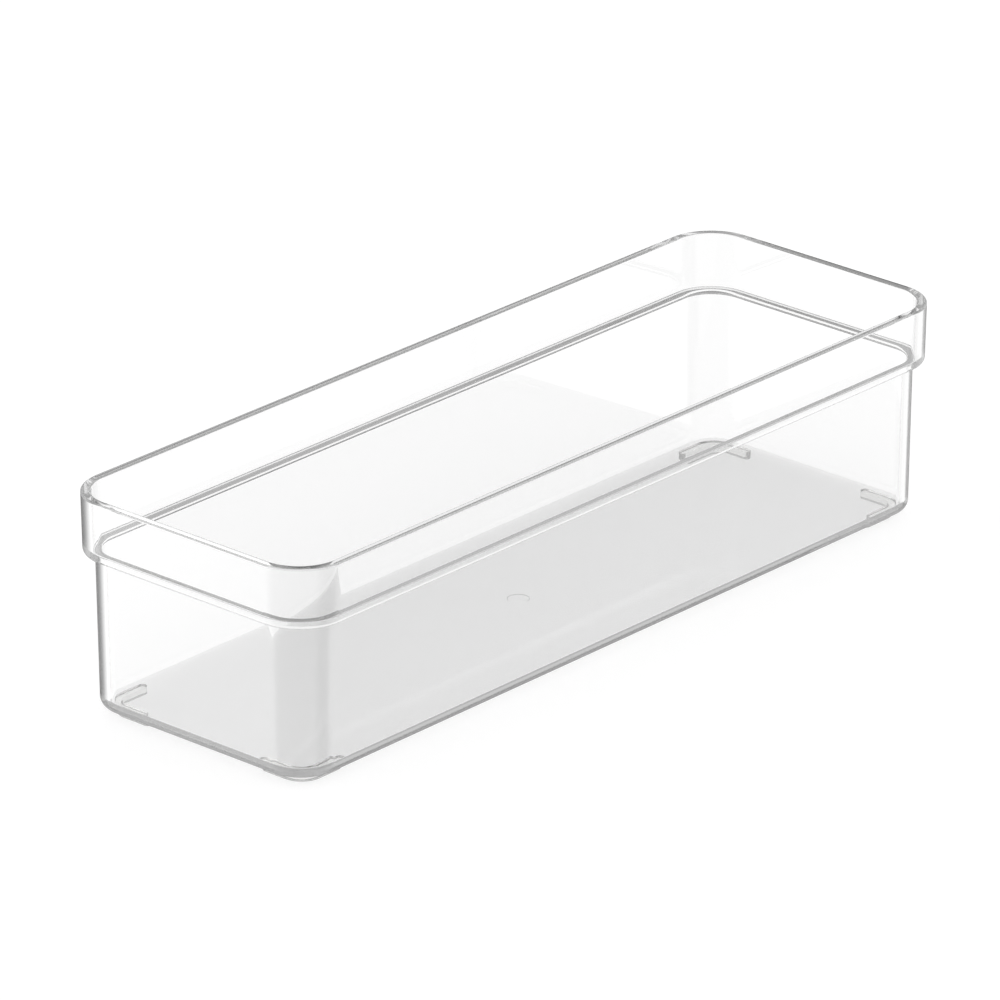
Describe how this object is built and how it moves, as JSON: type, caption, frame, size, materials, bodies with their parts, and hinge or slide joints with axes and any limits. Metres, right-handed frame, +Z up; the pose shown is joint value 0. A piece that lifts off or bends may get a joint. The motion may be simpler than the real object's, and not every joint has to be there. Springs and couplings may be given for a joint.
{
  "type": "drawer organizer bin",
  "caption": "Long, narrow open-top bin for drawer storage: clear one-piece shell, wider collar with a stacking ledge inside, soft L-shaped feet under the corners.",
  "frame": {"origin": "On the ground, under the middle of the bin: the centre of the box's lowest face.", "axes": "+X runs along the length of the bin, +Y across it to the back, +Z up. The front is the long side at -Y and the left end is at -X."},
  "size_m": [0.225, 0.0756, 0.055],
  "materials": {
    "clear_polystyrene": "water-clear injection-moulded polystyrene, polished on both sides",
    "soft_foot_elastomer": "translucent white soft elastomer, satin"
  },
  "bodies": {
    "root": {"bin_body": "clear_polystyrene", "foot_front_left": "soft_foot_elastomer", "foot_front_right": "soft_foot_elastomer", "foot_rear_left": "soft_foot_elastomer", "foot_rear_right": "soft_foot_elastomer"}
  },
  "joints": []
}
